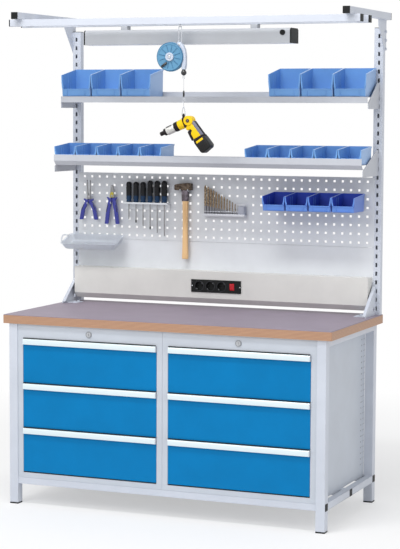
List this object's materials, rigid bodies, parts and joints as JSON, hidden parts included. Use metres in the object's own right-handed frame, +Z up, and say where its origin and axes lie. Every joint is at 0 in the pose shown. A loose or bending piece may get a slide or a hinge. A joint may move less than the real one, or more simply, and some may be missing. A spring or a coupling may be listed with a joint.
{
  "type": "workbench with drawer cabinets",
  "caption": "Workbench with two drawer cabinets, slotted uprights with panels, bin shelves, a lamp and a balancer holding a power tool on an overhead rail.",
  "frame": {"origin": "on the floor, below the middle of the worktop", "axes": "+Z up, +Y towards the rear uprights, +X to the right seen from the front"},
  "size_m": [1.61, 0.7, 2.135],
  "materials": {
    "beech": "varnished",
    "top_covering": "matte",
    "light_grey_paint": "satin",
    "black_plastic": "matte",
    "blue_paint": "satin",
    "grip_aluminium": "satin",
    "zinc_steel": "satin",
    "chrome": "polished",
    "warm_grey_paint": "satin",
    "red_plastic": "gloss",
    "diffuser": "frosted",
    "lamp_paint": "satin",
    "bin_blue": "matte",
    "balancer_blue": "gloss",
    "cord_white": "braided",
    "fittings_black": "gloss",
    "tool_yellow": "satin",
    "handle_blue": "satin",
    "driver_black": "gloss",
    "hammer_steel": "worn",
    "hickory": "oiled",
    "drill_brass": "satin",
    "holder_grey": "satin"
  },
  "bodies": {
    "bench": {"worktop_board": "beech", "worktop_covering": "top_covering", "base_frame": "light_grey_paint", "end_caps": "black_plastic", "leveling_feet": "black_plastic", "left_cabinet_housing": "light_grey_paint", "right_cabinet_housing": "light_grey_paint", "cabinet_runners": "zinc_steel", "lock_sleeves": "chrome", "uprights": "light_grey_paint", "upright_brackets": "light_grey_paint", "plain_panel": "light_grey_paint", "perforated_panel": "light_grey_paint", "shelves": "light_grey_paint", "shelf_brackets": "light_grey_paint", "gantry_arms": "light_grey_paint", "gantry_rails": "light_grey_paint", "energy_duct": "warm_grey_paint", "socket_strip": "black_plastic", "lamp_housing": "lamp_paint", "lamp_diffuser": "diffuser", "large_bins": "bin_blue", "small_bins": "bin_blue", "panel_holders": "holder_grey", "pliers": "handle_blue", "screwdrivers": "driver_black", "hammer_head": "hammer_steel", "hammer_handle": "hickory", "drill_set": "drill_brass"},
    "left_top_drawer": {"left_top_drawer_box": "light_grey_paint", "left_top_drawer_front": "blue_paint", "left_top_drawer_grip": "grip_aluminium"},
    "left_middle_drawer": {"left_middle_drawer_box": "light_grey_paint", "left_middle_drawer_front": "blue_paint", "left_middle_drawer_grip": "grip_aluminium"},
    "left_bottom_drawer": {"left_bottom_drawer_box": "light_grey_paint", "left_bottom_drawer_front": "blue_paint", "left_bottom_drawer_grip": "grip_aluminium"},
    "left_lock": {"left_lock_cylinder": "chrome"},
    "left_bar": {"left_locking_bar": "zinc_steel"},
    "right_top_drawer": {"right_top_drawer_box": "light_grey_paint", "right_top_drawer_front": "blue_paint", "right_top_drawer_grip": "grip_aluminium"},
    "right_middle_drawer": {"right_middle_drawer_box": "light_grey_paint", "right_middle_drawer_front": "blue_paint", "right_middle_drawer_grip": "grip_aluminium"},
    "right_bottom_drawer": {"right_bottom_drawer_box": "light_grey_paint", "right_bottom_drawer_front": "blue_paint", "right_bottom_drawer_grip": "grip_aluminium"},
    "right_lock": {"right_lock_cylinder": "chrome"},
    "right_bar": {"right_locking_bar": "zinc_steel"},
    "switch": {"power_switch": "red_plastic"},
    "button": {"lamp_button": "black_plastic"},
    "balancer": {"balancer_trolley": "chrome", "balancer_housing": "balancer_blue", "balancer_cord": "cord_white", "cord_fittings": "fittings_black", "power_tool": "tool_yellow"},
    "chuck": {"power_tool_chuck": "black_plastic"},
    "trigger": {"power_tool_trigger": "black_plastic"}
  },
  "joints": [
    {"name": "left_top_drawer_slide", "type": "slide", "parent": "bench", "child": "left_top_drawer", "axis": [0, -1, 0], "range_m": [0, 0.48]},
    {"name": "left_middle_drawer_slide", "type": "slide", "parent": "bench", "child": "left_middle_drawer", "axis": [0, -1, 0], "range_m": [0, 0.48]},
    {"name": "left_bottom_drawer_slide", "type": "slide", "parent": "bench", "child": "left_bottom_drawer", "axis": [0, -1, 0], "range_m": [0, 0.48]},
    {"name": "left_lock_turn", "type": "hinge", "parent": "bench", "child": "left_lock", "pos_m": [-0.3425, -0.338, 0.76], "axis": [0, -1, 0], "range_deg": [0, 90]},
    {"name": "left_bar_lift", "type": "slide", "parent": "bench", "child": "left_bar", "axis": [0, 0, 1], "range_m": [0, 0.008]},
    {"name": "right_top_drawer_slide", "type": "slide", "parent": "bench", "child": "right_top_drawer", "axis": [0, -1, 0], "range_m": [0, 0.48]},
    {"name": "right_middle_drawer_slide", "type": "slide", "parent": "bench", "child": "right_middle_drawer", "axis": [0, -1, 0], "range_m": [0, 0.48]},
    {"name": "right_bottom_drawer_slide", "type": "slide", "parent": "bench", "child": "right_bottom_drawer", "axis": [0, -1, 0], "range_m": [0, 0.48]},
    {"name": "right_lock_turn", "type": "hinge", "parent": "bench", "child": "right_lock", "pos_m": [0.3425, -0.338, 0.76], "axis": [0, -1, 0], "range_deg": [0, 90]},
    {"name": "right_bar_lift", "type": "slide", "parent": "bench", "child": "right_bar", "axis": [0, 0, 1], "range_m": [0, 0.008]},
    {"name": "switch_rock", "type": "hinge", "parent": "bench", "child": "switch", "pos_m": [0.077, 0.254, 0.9295], "axis": [-1, 0, 0], "range_deg": [0, 16]},
    {"name": "lamp_button_press", "type": "slide", "parent": "bench", "child": "button", "axis": [0, 1, 0], "range_m": [0, 0.003], "stiffness_N_per_m": 400},
    {"name": "balancer_travel", "type": "slide", "parent": "bench", "child": "balancer", "axis": [1, 0, 0], "range_m": [-0.59, 0.59]},
    {"name": "chuck_spin", "type": "hinge", "parent": "balancer", "child": "chuck", "pos_m": [0.0477, -0.17, 1.6704], "axis": [-0.915, 0, -0.4035], "continuous": true},
    {"name": "trigger_pull", "type": "slide", "parent": "balancer", "child": "trigger", "axis": [0.7771, 0, 0.6293], "range_m": [0, 0.006], "stiffness_N_per_m": 500}
  ],
  "couplings": [
    {"joint": "left_lock_turn", "follows": "left_bar_lift", "rad_per_m": 196.34},
    {"joint": "right_lock_turn", "follows": "right_bar_lift", "rad_per_m": 196.34}
  ]
}
